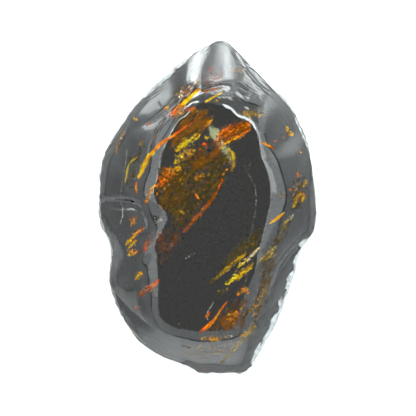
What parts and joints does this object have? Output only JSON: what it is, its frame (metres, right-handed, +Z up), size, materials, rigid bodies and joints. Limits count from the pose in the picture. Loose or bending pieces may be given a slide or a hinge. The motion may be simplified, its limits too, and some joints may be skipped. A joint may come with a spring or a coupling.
{
  "type": "polished amber stone",
  "caption": "Freeform piece of dark amber with a polished face, fiery flow seams inside, natural crust below and a ground flat to lie on.",
  "frame": {"origin": "middle of the bounding box in plan, on the ground resting face", "axes": "+Z up out of the polished face, +Y towards the pointed end, +X to the right of a viewer looking down with the point away"},
  "size_m": [0.0546, 0.084, 0.023],
  "materials": {
    "amber": "polished, see-through, very dark brown",
    "flow_seams": "pale gold to ember red flakes sealed in the amber"
  },
  "bodies": {
    "root": {"amber_stone": "amber"}
  },
  "joints": []
}
